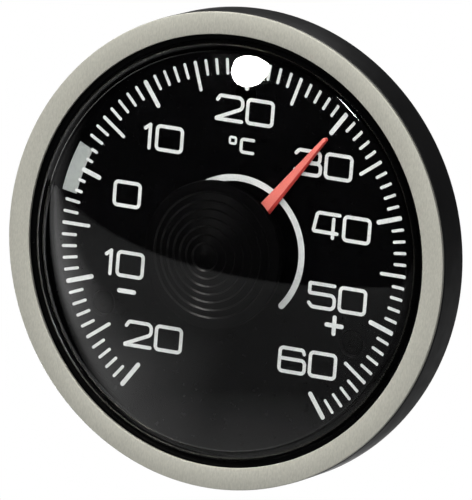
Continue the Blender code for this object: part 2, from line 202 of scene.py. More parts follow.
def apply_tools(obj, tools):
    """Applies each tool (operation, mesh builder) to the object's mesh as a boolean."""
    made = []
    for operation, builder in tools:
        bm = bmesh.new()
        builder(bm)
        tool = finish_piece("tool", bm, obj.data.materials[0], None)
        modifier = obj.modifiers.new("tool", "BOOLEAN")
        modifier.operation, modifier.solver, modifier.object = operation, "EXACT", tool
        made.append(tool)
    if not made:
        return
    graph = bpy.context.evaluated_depsgraph_get()
    mesh = bpy.data.meshes.new_from_object(obj.evaluated_get(graph))
    mesh.name = obj.name
    mesh.shade_smooth()
    mesh.set_sharp_from_angle(angle=math.radians(SMOOTH_DEG))
    obj.modifiers.clear()
    obj.data = mesh
    for tool in made:
        bpy.data.objects.remove(tool, do_unlink=True)


def round_tool(profile, facets, centre):
    """A tool turned round a centre on the dial."""
    return lambda bm: lathe(bm, profile, facets, centre)


def block_tool(size, centre, degrees):
    """A block turned clockwise about the dial's axis."""

    def build(bm):
        made = bmesh.ops.create_cube(bm, size=1.0)["verts"]
        turn = math.radians(degrees)
        for v in made:
            x, y, z = (v.co[i] * size[i] + centre[i] for i in range(3))
            across = x * math.cos(turn) + y * math.sin(turn)
            along = y * math.cos(turn) - x * math.sin(turn)
            v.co = at(across, along, z)

    return build


def flat_ring(inner_r, outer_r, low, high, edge=0.04):
    """The profile of a ring with eased edges."""
    corners = [
        (inner_r, high, edge),
        (outer_r, high, edge),
        (outer_r, low, edge),
        (inner_r, low, edge),
    ]
    return rounded(corners, closed=True, step_deg=30)


# ---------------------------------------------------------------- materials


class Finish:
    """A Principled material whose colour, gloss and relief vary over the surface."""

    def __init__(self, name, colour, roughness, metallic=0.0, **sockets):
        self.material = bpy.data.materials.new(name)
        self.material.use_nodes = True
        self.tree = self.material.node_tree
        self.shader = self.tree.nodes["Principled BSDF"]
        self.shader.inputs["Base Color"].default_value = (*colour, 1.0)
        self.shader.inputs["Roughness"].default_value = roughness
        self.shader.inputs["Metallic"].default_value = metallic
        for socket, value in sockets.items():
            self.shader.inputs[socket.replace("_", " ")].default_value = value
        self.place = self.node("ShaderNodeTexCoord").outputs["Object"]
        self.relief = None

    def node(self, kind, **settings):
        made = self.tree.nodes.new(kind)
        for key, value in settings.items():
            setattr(made, key, value)
        return made

    def link(self, source, target):
        self.tree.links.new(source, target)

    def noise(self, scale, detail=3.0, stretch=(1, 1, 1), distortion=0.0):
        """Noise with about scale cells per metre, drawn out along an axis by a small stretch."""
        mapping = self.node("ShaderNodeMapping")
        mapping.inputs["Scale"].default_value = stretch
        made = self.node("ShaderNodeTexNoise")
        made.inputs["Scale"].default_value = scale
        made.inputs["Detail"].default_value = detail
        made.inputs["Distortion"].default_value = distortion
        self.link(self.place, mapping.inputs["Vector"])
        self.link(mapping.outputs["Vector"], made.inputs["Vector"])
        return made.outputs["Fac"]

    def cells(self, scale):
        """Round cells, about scale of them per metre."""
        made = self.node("ShaderNodeTexVoronoi", feature="F1")
        made.inputs["Scale"].default_value = scale
        self.link(self.place, made.inputs["Vector"])
        return made.outputs["Distance"]

    def rings(self, pitch, distortion=0.4):
        """Fine turned rings round the dial's axis, one each pitch metres."""
        # At a scale of 1, the texture's rings are tau / 20 apart
        made = self.node("ShaderNodeTexWave", wave_type="RINGS", rings_direction="Y")
        made.inputs["Scale"].default_value = math.tau / (20 * pitch)
        made.inputs["Distortion"].default_value = distortion
        made.inputs["Detail"].default_value = 2.0
        self.link(self.place, made.inputs["Vector"])
        return made.outputs["Fac"]

    def paint(self, source, low, high, start=0.35, end=0.65):
        """Colours the surface from low to high as the source goes from start to end."""
        ramp = self.node("ShaderNodeValToRGB")
        ramp.color_ramp.elements[0].position = start
        ramp.color_ramp.elements[1].position = end
        ramp.color_ramp.elements[0].color = (*low, 1.0)
        ramp.color_ramp.elements[1].color = (*high, 1.0)
        self.link(source, ramp.inputs["Fac"])
        self.link(ramp.outputs["Color"], self.shader.inputs["Base Color"])
        return self

    def gloss(self, source, low, high):
        """Lets the roughness wander between low and high with the source."""
        # Most noise lies between 0.3 and 0.7
        span = self.node("ShaderNodeMapRange")
        span.inputs["From Min"].default_value = 0.3
        span.inputs["From Max"].default_value = 0.7
        span.inputs["To Min"].default_value = low
        span.inputs["To Max"].default_value = high
        self.link(source, span.inputs["Value"])
        self.link(span.outputs["Result"], self.shader.inputs["Roughness"])
        return self

    def bump(self, source, strength, depth):
        """Adds relief of that depth, in metres, on top of any already there."""
        made = self.node("ShaderNodeBump")
        made.inputs["Strength"].default_value = strength
        made.inputs["Distance"].default_value = depth
        self.link(source, made.inputs["Height"])
        if self.relief:
            self.link(self.relief, made.inputs["Normal"])
        self.relief = made.outputs["Normal"]
        self.link(self.relief, self.shader.inputs["Normal"])
        return self


def mix_by_ray(tree, ray, usual, special, output):
    """Gives that kind of ray the special shader, and all others the usual one."""
    rays = tree.nodes.new("ShaderNodeLightPath")
    mix = tree.nodes.new("ShaderNodeMixShader")
    tree.links.new(rays.outputs[ray], mix.inputs["Fac"])
    tree.links.new(usual, mix.inputs[1])
    tree.links.new(special, mix.inputs[2])
    tree.links.new(mix.outputs["Shader"], output.inputs["Surface"])


def moulded_black(name, colour, roughness, rings=None, **sockets):
    """Moulded black plastic: a fine eroded grain, faint rubbing and uneven gloss."""
    made = Finish(name, colour, roughness, **sockets)
    lighter = tuple(c * 1.5 for c in colour)
    made.paint(made.noise(260, 5), colour, lighter, 0.4, 0.75)
    made.gloss(made.noise(700, 4), roughness - 0.05, roughness + 0.06)
    made.bump(made.noise(9000, 2), 0.35, 6e-6)
    if rings:
        made.bump(made.rings(rings), 0.3, 5e-6)
    return made.material


def worked_metal(name, low, high, roughness, grain, stretch=(1, 1, 1)):
    """Bare metal with a drawn or turned grain and a slight tarnish."""
    made = Finish(name, low, roughness, 1.0)
    made.paint(made.noise(900, 5), low, high, 0.3, 0.7)
    made.gloss(made.noise(grain, 3, stretch), roughness - 0.07, roughness + 0.1)
    made.bump(made.noise(grain, 3, stretch), 0.4, 4e-6)
    return made.material


def brushed_aluminium():
    """Satin aluminium: an even pale grain, with faint straight brushing up and down."""
    made = Finish("brushed_aluminium", (0.8, 0.79, 0.7), 0.66, 0.8)
    along = (1, 1, 0.06)
    made.paint(made.noise(7000, 5, (1, 1, 0.35), 0.4), (0.64, 0.64, 0.575), (0.735, 0.73, 0.66))
    made.gloss(made.noise(2600, 3, along), 0.63, 0.7)
    made.bump(made.noise(9000, 3, along), 0.16, 3e-6)
    made.bump(made.noise(5200, 3), 0.2, 4e-6)
    return made.material


def dial_lacquer():
    """Deep black lacquer with a slight orange peel."""
    made = Finish("dial_black", (0.0007, 0.0007, 0.0008), 0.3, Specular_IOR_Level=0.05)
    made.paint(made.noise(500, 4), (0.0005, 0.0005, 0.0006), (0.001, 0.001, 0.0012))
    made.gloss(made.noise(1500, 3), 0.27, 0.34)
    made.bump(made.noise(7000, 2), 0.2, 3e-6)
    return made.material


def ink(name, colour):
    """Screen ink, with a fine grain and faint thin spots."""
    made = Finish(name, colour, 0.5, Specular_IOR_Level=0.3)
    thin = tuple(c * 0.9 for c in colour)
    made.paint(made.noise(4200, 4), thin, colour, 0.32, 0.52)
    made.gloss(made.noise(3000, 2), 0.44, 0.6)
    made.bump(made.noise(14000, 2), 0.25, 4e-6)
    return made.material


def pointer_paint_with_painted_sheen(name, root, tip):
    """Signal red paint that pales towards the tip; the paling is a painted sheen."""
    made = Finish(name, root, 0.42)
    mapping = made.node("ShaderNodeMapping")
    mapping.inputs["Rotation"].default_value = (0.0, math.radians(POINTER_DEG), 0.0)
    gradient = made.node("ShaderNodeSeparateXYZ")
    made.link(made.place, mapping.inputs["Vector"])
    made.link(mapping.outputs["Vector"], gradient.inputs["Vector"])
    # The ramp from root to tip paints the sheen of light on the blade's top into its colour
    reach = made.node("ShaderNodeMapRange")
    reach.inputs["From Min"].default_value = 6.0 * MM
    reach.inputs["From Max"].default_value = 16.0 * MM
    made.link(gradient.outputs["Z"], reach.inputs["Value"])
    speckle_and_sheen = made.node("ShaderNodeMath", operation="MULTIPLY_ADD")
    speckle_and_sheen.inputs[1].default_value = 0.22
    made.link(made.noise(1800, 3), speckle_and_sheen.inputs[0])
    made.link(reach.outputs["Result"], speckle_and_sheen.inputs[2])
    made.paint(speckle_and_sheen.outputs["Value"], root, tip, 0.08, 1.0)
    made.gloss(made.noise(2500, 2), 0.38, 0.5)
    made.bump(made.noise(8000, 2), 0.2, 4e-6)
    return made.material


def clear_acrylic():
    """Clear plastic. Lamps shine through it, and it still mirrors the room."""
    made = Finish(
        "clear_acrylic", (1.0, 1.0, 1.0), 0.0, Transmission_Weight=1.0, IOR=1.49
    )
    made.gloss(made.noise(160, 3), 0.0, 0.02)
    solid, clear = made.shader, made.node("ShaderNodeBsdfTransparent")
    output = made.tree.nodes["Material Output"]
    mix_by_ray(
        made.tree, "Is Shadow Ray", solid.outputs["BSDF"], clear.outputs["BSDF"], output
    )
    return made.material


def closed_cell_foam():
    """Grey foam, its cut cells open at the surface."""
    made = Finish("grey_foam", (0.16, 0.165, 0.17), 0.85, Specular_IOR_Level=0.25)
    made.paint(made.cells(5200), (0.10, 0.103, 0.107), (0.21, 0.215, 0.22), 0.1, 0.7)
    made.bump(made.cells(5200), 0.8, 6e-5)
    made.bump(made.noise(900, 4), 0.3, 5e-5)
    return made.material


def adhesive_film():
    """Thin black double-sided film."""
    made = Finish("adhesive_film", (0.01, 0.01, 0.0105), 0.4)
    made.paint(made.noise(700, 4), (0.008, 0.008, 0.0085), (0.016, 0.016, 0.017))
    made.gloss(made.noise(1200, 3), 0.3, 0.5)
    made.bump(made.noise(3000, 3), 0.25, 1e-5)
    return made.material


def rubber():
    """Soft black rubber, dull and dusty."""
    made = Finish("black_rubber", (0.018, 0.018, 0.018), 0.75, Specular_IOR_Level=0.3)
    made.paint(made.noise(1800, 4), (0.014, 0.014, 0.014), (0.03, 0.03, 0.03))
    made.bump(made.noise(6000, 4), 0.4, 1e-5)
    return made.material


CASE_BLACK = moulded_black("case_black", (0.006, 0.006, 0.0065), 0.42)
RING_BLACK = moulded_black("ring_black", (0.0012, 0.0012, 0.0013), 0.3, Specular_IOR_Level=0.12)
HUB_BLACK = moulded_black(
    "hub_black", (0.0014, 0.0014, 0.0015), 0.42, rings=0.00011, Specular_IOR_Level=0.006
)
HUB_EDGES = moulded_black("hub_edges", (0.003, 0.003, 0.003), 0.17, Specular_IOR_Level=0.32)
RIVET_BLACK = moulded_black(
    "rivet_black", (0.0003, 0.0003, 0.0003), 0.5, Specular_IOR_Level=0.0
)
ALUMINIUM = brushed_aluminium()
DIAL_BLACK = dial_lacquer()
PRINT_WHITE = ink("dial_print", (0.84, 0.87, 0.855))
PRINT_FROST = ink("dial_print_frost", (0.41, 0.44, 0.425))
# One red paint in two copies: the face's paler red is painted sheen, the flank's darker red is
# painted shade
POINTER_FACE_PAINTED_SHEEN = pointer_paint_with_painted_sheen("pointer_face", (0.82, 0.19, 0.155), (0.82, 0.42, 0.38))
POINTER_FLANK_PAINTED_SHADE = pointer_paint_with_painted_sheen("pointer_flank", (0.68, 0.055, 0.045), (0.78, 0.24, 0.21))
ACRYLIC = clear_acrylic()
FOAM = closed_cell_foam()
FILM = adhesive_film()
RUBBER = rubber()
BRASS = worked_metal(
    "brass", (0.60, 0.42, 0.16), (0.78, 0.58, 0.27), 0.32, 4000, stretch=(1, 0.1, 1)
)
STEEL = worked_metal("spring_steel", (0.42, 0.42, 0.43), (0.58, 0.58, 0.58), 0.3, 5000)
BIMETAL = worked_metal(
    "bimetal_strip", (0.44, 0.42, 0.38), (0.62, 0.58, 0.50), 0.34, 5000, stretch=(1, 0.08, 1)
)


# ---------------------------------------------------------------- case, bezel and pad


def make_case():
    """The case: a cup with a ledge for the dial, a groove for the snap ring and bosses."""
    floor = CASE_BACK + 1.0
    ledge = DIAL_BACK - 0.05
    groove_low, groove_high = 4.98, 5.38
    groove_r = BORE_R + 0.3
    ledge_r = BORE_R - 1.2
    head_r, head_seat = 2.4, CASE_BACK + 0.62  # the recess for the stud's head
    stud_hole_r, stud_boss_r, stud_boss = 1.26, 3.0, 2.5
    back_groove = CASE_BACK + 0.16
    corners = [
        (BORE_R, CASE_RIM, 0.08),
        (CASE_R, CASE_RIM, 0.16),
        (CASE_R, CASE_BACK, 0.34),
        (21.35, CASE_BACK, 0.05),
        (21.2, back_groove, 0.05),
        (20.7, back_groove, 0.05),
        (20.55, CASE_BACK, 0.05),
        (head_r, CASE_BACK, 0.05),
        (head_r, head_seat, 0.0),
        (stud_hole_r, head_seat, 0.0),
        (stud_hole_r, stud_boss, 0.0),
        (stud_boss_r, stud_boss, 0.1),
        (stud_boss_r, floor, 0.1),
        (ledge_r, floor, 0.1),
        (ledge_r, ledge, 0.05),
        (BORE_R, ledge, 0.0),
        (BORE_R, groove_low, 0.0),
        (groove_r, groove_low, 0.0),
        (groove_r, groove_high, 0.0),
        (BORE_R, groove_high, 0.0),
    ]
    profile = rounded(corners, closed=True, step_deg=18)
    boss_r, boss_foot = 1.9, floor - 0.3
    hole_r, hole_foot = 0.6, floor - 0.5
    pin_depth, pin_circle_r, outside = CASE_BACK + 0.07, 18.4, 0.5
    boss = [(0, ledge), (boss_r, ledge), (boss_r, boss_foot), (0, boss_foot)]
    hole = [(0, DIAL_FACE), (hole_r, DIAL_FACE), (hole_r, hole_foot), (0, hole_foot)]
    pin_mark = [(0, pin_depth), (1.1, pin_depth), (1.16, outside), (0, outside)]
    tools = []
    for degrees in RIVET_DEGREES:
        centre = clock(RIVET_CIRCLE_R, degrees)
        tools.append(("UNION", round_tool(boss, SMALL, centre)))
        tools.append(("DIFFERENCE", round_tool(hole, SMALL, centre)))
    for degrees in (30, 150, 270):
        centre = clock(pin_circle_r, degrees)
        tools.append(("DIFFERENCE", round_tool(pin_mark, SMALL, centre)))
    turned("case_shell", profile, FINE, CASE_BLACK, "housing", ["case"], tools)


def make_bezel():
    """The metal ring, and the film that holds it on the case."""
    corners = [
        (BEZEL_HOLE_R, BEZEL_FACE, 0.07),
        (BEZEL_R, BEZEL_FACE, 0.09),
        (BEZEL_R, BEZEL_BACK, 0.02),
        (BEZEL_HOLE_R, BEZEL_BACK, 0.02),
    ]
    profile = rounded(corners, closed=True, step_deg=22)
    turned(
        "bezel_face",
        profile,
        FINEST,
        ALUMINIUM,
        "housing",
        ["bezel_ring"],
    )
    low, high = heights("bezel_bond_film")
    film = flat_ring(BORE_R + 0.1, radius("bezel_bond_film"), low, high, 0.02)
    turned("bond_film", film, FINE, FILM, "housing", ["bezel_bond_film"])


def make_pad():
    """A die-cut foam disc whose side draws in a little."""
    bm = bmesh.new()
    waist, steps = 0.07, 6
    side = [
        (
            PAD_R - waist * math.sin(math.pi * i / steps),
            PAD_FRONT + (PAD_BACK - PAD_FRONT) * i / steps,
        )
        for i in range(steps + 1)
    ]
    face = [(r, PAD_FRONT) for r in (0, 4, 8, 12, 15, 15.7)]
    back = [(r, PAD_BACK) for r in (15.7, 15, 14, 12, 10, 8, 6, 4, 2, 0)]
    lathe(bm, face + side + back, FINE)
    pad = finish_piece(
        "foam_pad", bm, FOAM, "housing", ["mounting_pad"], smooth=50
    )


# ---------------------------------------------------------------- dial and print


def make_dial():
    """The dial, with a countersunk seat and a hole for each rivet."""
    profile = flat_ring(DIAL_HOLE_R, DIAL_R, DIAL_BACK, DIAL_FACE)
    seat = heights("dial_rivet_1")[1] - 0.37
    mouth_r, seat_r, shank_r = 1.43, 1.25, 0.62
    above, below = DIAL_FACE + 1, DIAL_BACK - 1
    hole = rounded(
        [
            (0, above, 0),
            (mouth_r, above, 0),
            (mouth_r, DIAL_FACE, 0),
            (seat_r, DIAL_FACE - 0.12, 0.1),
            (seat_r, seat, 0),
            (shank_r, seat, 0),
            (shank_r, below, 0),
            (0, below, 0),
        ]
    )
    tools = [
        ("DIFFERENCE", round_tool(hole, SMALL, clock(RIVET_CIRCLE_R, d))) for d in RIVET_DEGREES
    ]
    turned("dial_face", profile, FINE, DIAL_BLACK, "housing", ["dial_plate"], tools)


def make_rivets():
    """Black rivets with a dimpled head, set into the dial."""
    head_r, shank_r, head_t = 1.15, 0.5, 0.32
    for number, degrees in enumerate(RIVET_DEGREES, 1):
        low, top = heights(f"dial_rivet_{number}")
        corners = [
            (0, top - 0.09, 0),
            (0.32, top - 0.07, 0.05),
            (0.42, top, 0.08),
            (0.8, top, 0.2),
            (head_r, top - head_t / 2, 0.05),
            (head_r, top - head_t, 0.03),
            (shank_r, top - head_t, 0.03),
            (shank_r, low, 0.03),
            (0, low, 0),
        ]
        bm = bmesh.new()
        lathe(bm, rounded(corners), SMALL, clock(RIVET_CIRCLE_R, degrees))
        finish_piece(
            f"rivet_{number}",
            bm,
            RIVET_BLACK,
            "housing",
            [f"dial_rivet_{number}"],
        )


INK_T = 0.02
INK_FOOT = 0.004  # how far the ink reaches into the lacquer
PRINT_UNIT = 19.62  # radius of the marks' outer ends; the print's other sizes are shares of it
PRINT_OFFSET = Vector((0.22, 0.0))
STROKE = 0.0190
GLYPH_H = 0.142
GLYPH_W = 0.164
ONE_W = 0.047
GLYPH_GAP, ONE_GAP = 0.011, 0.022

# Each glyph's strokes, as (x, y, fillet) with x and y from 0 to 1 across the middle of the strokes
GLYPHS = {
    "0": [("loop", [(0, 0, 0.02), (0, 1, 0.02), (1, 1, 0.02), (1, 0, 0.02)])],
    "1": [("line", [(0, 0.82, 0), (1, 1, 0)]), ("line", [(1, 1, 0), (1, 0, 0)])],
    "2": [
        (
            "line",
            [(0, 0.82, 0), (0.1, 1, 0.012), (1, 1, 0.03), (1, 0.55, 0.028), (0, 0.03, 0)],
        ),
        ("line", [(0, 0, 0), (1, 0, 0)]),
    ],
    "3": [
        (
            "line",
            [(0, 0.85, 0), (0.12, 1, 0.014), (0.95, 1, 0.022), (0.95, 0.52, 0.02), (0.4, 0.5, 0)],
        ),
        ("line", [(0.4, 0.5, 0), (1, 0.5, 0.022), (1, 0, 0.022), (0.12, 0, 0.014), (0, 0.15, 0)]),
    ],
    "4": [
        ("line", [(1, 1, 0), (0.13, 1, 0.018), (0, 0.2, 0.008), (0.94, 0.2, 0)]),
        ("line", [(0.78, 0.8, 0), (0.78, 0, 0)]),
    ],
    "5": [
        (
            "line",
            [
                (0.97, 1, 0),
                (0, 1, 0.006),
                (0, 0.58, 0.006),
                (1, 0.58, 0.026),
                (1, 0, 0.026),
                (0.13, 0, 0.016),
                (0, 0.15, 0),
            ],
        )
    ],
    "6": [
        (
            "line",
            [
                (0.96, 0.84, 0),
                (0.9, 1, 0.012),
                (0, 1, 0.02),
                (0, 0, 0.02),
                (1, 0, 0.02),
                (1, 0.55, 0.022),
                (0.02, 0.55, 0),
            ],
        )
    ],
    "o": [("loop", [(0, 0, 0.008), (0, 1, 0.008), (1, 1, 0.008), (1, 0, 0.008)])],
    "C": [("line", [(1, 1, 0), (0, 1, 0.014), (0, 0, 0.014), (1, 0, 0)])],
    "-": [("line", [(0, 0.5, 0), (1, 0.5, 0)])],
    "+": [("line", [(0, 0.5, 0), (1, 0.5, 0)]), ("line", [(0.5, 0, 0), (0.5, 1, 0)])],
}

# Numerals: text, and the middle of each in shares of PRINT_UNIT
NUMERALS = [
    ("20", -0.002, 0.732),
    ("30", 0.469, 0.514),
    ("40", 0.600, 0.203),
    ("50", 0.608, -0.169),
    ("60", 0.468, -0.530),
    ("10", -0.456, 0.522),
    ("0", -0.640, 0.198),
    ("10", -0.626, -0.170),
    ("20", -0.425, -0.528),
]

# Signs: left, bottom, width, height and stroke of each
SIGNS = [
    ("-", -0.655, -0.324, 0.11, 0.024, 0.024),
    ("+", 0.548, -0.366, 0.11, 0.108, 0.023),
    ("o", -0.081, 0.546, 0.047, 0.045, 0.0125),
    ("C", -0.016, 0.507, 0.086, 0.084, 0.0165),
]


class Print:
    """Printed shapes, joined where they overlap and raised by the thickness of the ink."""

    def __init__(self):
        self.points, self.shapes = [], []

    def shape(self, outline):
        """A convex outline, kept as anticlockwise triangles, without the slivers."""
        sliver = 1e-7
        pts = [Vector(p) * PRINT_UNIT + PRINT_OFFSET for p in outline]
        for b, c in zip(pts[1:], pts[2:]):
            area = (b - pts[0]).cross(c - pts[0])
            if abs(area) > sliver:
                first = len(self.points)
                self.points += [pts[0], b, c] if area > 0 else [pts[0], c, b]
                self.shapes.append([first, first + 1, first + 2])

    def stroke(self, path, width, closed=False):
        """A line of that width with round ends."""
        sharpest_mitre, end_steps = 0.4, 8
        pts = [Vector(p) for p in path]
        count = len(pts)
        sides = []
        for i, p in enumerate(pts):
            before = pts[i] - pts[i - 1] if closed or i else pts[1] - pts[0]
            after = pts[(i + 1) % count] - p if closed or i < count - 1 else before
            before, after = before.normalized(), after.normalized()
            along = (before + after).normalized()
            reach = width / 2 / max(sharpest_mitre, along.dot(after))
            across = Vector((along.y, -along.x)) * reach
            sides.append((p - across, p + across))
        pairs = list(zip(sides, sides[1:])) + ([(sides[-1], sides[0])] if closed else [])
        for (a, b), (c, d) in pairs:
            self.shape([a, b, d, c])
        if closed:
            return
        for tip, inward, edge in (
            (pts[0], pts[1], sides[0]),
            (pts[-1], pts[-2], sides[-1]),
        ):
            out = (tip - inward).normalized() * width / 2
            side = Vector((-out.y, out.x))
            turns = [math.pi * k / end_steps for k in reversed(range(end_steps + 1))]
            self.shape([tip + out * math.sin(t) + side * math.cos(t) for t in turns])

    def glyph(self, kind, left, bottom, width, height, stroke=STROKE):
        """One glyph, drawn in strokes that fill the box."""
        for form, corners in GLYPHS[kind]:
            placed = [
                (
                    left + stroke / 2 + x * (width - stroke),
                    bottom + stroke / 2 + y * (height - stroke),
                    fillet,
                )
                for x, y, fillet in corners
            ]
            self.stroke(rounded(placed, form == "loop", 11), stroke, form == "loop")

    def numeral(self, text, x, y):
        """A number with its middle at x, y."""
        widths = [ONE_W if c == "1" else GLYPH_W for c in text]
        gaps = [ONE_GAP if c == "1" else GLYPH_GAP for c in text[:-1]] + [0]
        left = x - (sum(widths) + sum(gaps)) / 2
        for i, c in enumerate(text):
            self.glyph(c, left, y - GLYPH_H / 2, widths[i], GLYPH_H)
            left += widths[i] + gaps[i]

    def sector(self, inner, outer, start, end, steps):
        """A band of the dial between two angles."""
        for i in range(steps):
            a, b = (start + (end - start) * k / steps for k in (i, i + 1))
            self.shape([clock(inner, a), clock(inner, b), clock(outer, b), clock(outer, a)])

    def coverage(self):
        """A test of whether a point is under any of the shapes."""
        cells = {}
        for shape in self.shapes:
            corners = [self.points[i] for i in shape]
            spans = []
            for values in zip(*corners):
                spans.append(range(math.floor(min(values)), math.floor(max(values)) + 1))
            for cell in ((i, j) for i in spans[0] for j in spans[1]):
                cells.setdefault(cell, []).append(corners)

        def inked(point):
            near = cells.get((math.floor(point.x), math.floor(point.y)), ())
            return any(
                all((b - a).cross(point - a) >= 0 for a, b in ((p, q), (q, r), (r, p)))
                for p, q, r in near
            )

        return inked

    def piece(self, name, finish, thickness=INK_T):
        """The shapes' union as one closed piece of ink."""
        verts, _, faces, _, _, _ = geometry.delaunay_2d_cdt(self.points, [], self.shapes, 0, 1e-5)
        inked = self.coverage()
        kept = [face for face in faces if inked(sum((verts[i] for i in face), Vector((0, 0))) / 3)]
        bm = bmesh.new()
        top = [bm.verts.new(at(*v, DIAL_FACE + thickness)) for v in verts]
        low = [bm.verts.new(at(*v, DIAL_FACE - INK_FOOT)) for v in verts]
        edges = {}
        for face in kept:
            bm.faces.new([top[i] for i in face])
            bm.faces.new([low[i] for i in reversed(face)])
            for a, b in zip(face, face[1:] + face[:1]):
                edges.setdefault(frozenset((a, b)), []).append((a, b))
        for shared in edges.values():
            if len(shared) == 1:
                a, b = shared[0]
                bm.faces.new([top[b], top[a], low[a], low[b]])
        bmesh.ops.delete(bm, geom=[v for v in bm.verts if not v.link_faces], context="VERTS")
        return finish_piece(name, bm, finish, "housing", ())


def make_print():
    """The frost band round zero, the marks, the numerals and the arc round the hub."""
    frost = Print()
    frost.sector(inner=0.944, outer=1.028, start=-80.3, end=-64.8, steps=16)
    frost.piece("print_frost_band", PRINT_FROST, 0.6 * INK_T)

    marks = Print()
    ten_w, five_w, one_w = 0.0245, 0.0185, 0.016
    long_from, short_from, frosted_to = 0.838, 0.913, 0.957
    for celsius in range(-20, 61):
        degrees = (celsius - 20) * DEGREES_PER_MARK
        width = ten_w if celsius % 10 == 0 else five_w if celsius % 5 == 0 else one_w
        inner = long_from if celsius % 5 == 0 else short_from
        outer = frosted_to if abs(celsius) <= 2 else 1.0
        path = [clock(inner + width / 2, degrees), clock(outer - width / 2, degrees)]
        marks.stroke(path, width)
    marks.piece("print_marks", PRINT_WHITE)

    numerals = Print()
    for text, x, y in NUMERALS:
        numerals.numeral(text, x, y)
    for sign in SIGNS:
        numerals.glyph(*sign)
    numerals.piece("print_numerals", PRINT_WHITE)

    sweep = Print()
    arc_r, arc_end, steps = 0.382, 130.8, 160
    arc = [
        (x + 0.005, y - 0.004)
        for x, y in (
            clock(arc_r, -arc_end + 2 * arc_end * i / steps) for i in range(steps + 1)
        )
    ]
    sweep.stroke(arc, 0.0345)
    sweep.piece("print_arc", PRINT_WHITE)


# ---------------------------------------------------------------- crystal and its rings


def dome(apex, sphere_r, wall_r, shoulder_r):
    """Points (r, z) from the apex over a spherical cap and a rounded shoulder to the wall."""
    cap_steps, shoulder_steps = 30, 12
    sphere_z = apex - sphere_r
    shoulder_at = wall_r - shoulder_r
    rise = math.sqrt((sphere_r - shoulder_r) ** 2 - shoulder_at**2)
    tangent = math.atan2(shoulder_at, rise)
    points = []
    for i in range(cap_steps + 1):
        turn = tangent * i / cap_steps
        points.append((sphere_r * math.sin(turn), sphere_z + sphere_r * math.cos(turn)))
    for i in range(1, shoulder_steps + 1):
        turn = tangent + (math.pi / 2 - tangent) * i / shoulder_steps
        points.append(
            (
                shoulder_at + shoulder_r * math.sin(turn),
                sphere_z + rise + shoulder_r * math.cos(turn),
            )
        )
    return points


def make_crystal():
    """The clear dome. Its foot is blacked outside, but for the flange's front face."""
    dome_r, wall_r, wall_t = 44.0, 21.75, 1.0
    shoulder_r, inner_shoulder_r = 1.7, 1.0
    bore_r, flange_r = wall_r - wall_t, radius("crystal")
    outer = dome(CRYSTAL_APEX, dome_r, wall_r, shoulder_r)
    inner = dome(CRYSTAL_APEX - wall_t, dome_r - wall_t, bore_r, inner_shoulder_r)
    flange_top = CRYSTAL_FLANGE_Z + 0.47
    flange = rounded(
        [
            (wall_r, flange_top + 0.3, 0),
            (wall_r, flange_top, 0.08),
            (flange_r, flange_top, 0.05),
            (flange_r, CRYSTAL_FLANGE_Z, 0.05),
            (bore_r, CRYSTAL_FLANGE_Z, 0.05),
            (bore_r, CRYSTAL_FLANGE_Z + 0.4, 0),
        ]
    )
    crystal = turned(
        "crystal_dome",
        outer + flange + inner[::-1],
        FINEST,
        ACRYLIC,
        "housing",
        ["crystal"],
    )
    crystal.data.materials.append(RING_BLACK)
    foot_r, upright = (wall_r - wall_t / 2) * MM, math.cos(math.radians(62))
    for face in crystal.data.polygons:
        outside = math.hypot(face.center.x, face.center.z) > foot_r
        if outside and -face.normal.y < upright:
            face.material_index = 1


def make_crystal_rings():
    """The ring under the crystal, its seal, and the snap ring that holds it in."""
    for name, node, inner_r, finish, slot in (
        ("spacer", "crystal_spacer_ring", 21.1, RING_BLACK, "case_black"),
        ("seal", "crystal_gasket", 21.2, RUBBER, "black_rubber"),
        ("snap_ring", "crystal_snap_ring", 21.87, RING_BLACK, "case_black"),
    ):
        low, high = heights(node)
        profile = flat_ring(inner_r, radius(node), low, high, 0.06)
        turned(name, profile, FINE, finish, "housing", [node])


# ---------------------------------------------------------------- hub and pointer


def make_cap():
    """A disc whose face climbs to the middle in ridges, their steep sides turned to the axis."""
    ridges, pitch, outer_r, climb = 7, 0.84, 6.45, 0.31
    half_step, step_up = 0.1, 0.15
    ridged_r, steep = (outer_r + pitch) * MM, -0.2
    socket_r, socket_top = 2.0, 8.4  # the hollow over the pivot
    corners = [(0, CAP_APEX - 0.04, 0), (0.3, CAP_APEX - 0.06, 0.3)]
    for ridge in reversed(range(ridges)):
        crest_r = outer_r - pitch * ridge + half_step
        crest = CAP_APEX - climb * crest_r
        corners += [(crest_r - 2 * half_step, crest - step_up, 0.02), (crest_r, crest, 0.04)]
    corners += [
        (CAP_R - 0.02, crest - 0.12, 0.14),
        (CAP_R, CAP_BACK, 0.2),
        (socket_r, CAP_BACK, 0.0),
        (socket_r, socket_top, 0.1),
        (0, socket_top, 0),
    ]
    profile = rounded(corners, step_deg=18)
    cap = turned("hub_top", profile, FINE, HUB_BLACK, "pointer", ["hub_cap"])
    cap.data.materials.append(HUB_EDGES)
    for face in cap.data.polygons:
        outward = Vector((face.center.x, face.center.z)).normalized()
        lean = outward.dot(Vector((face.normal.x, face.normal.z)))
        ridged = math.hypot(face.center.x, face.center.z) < ridged_r
        if ridged and lean < steep and face.normal.y < steep:
            face.material_index = 1


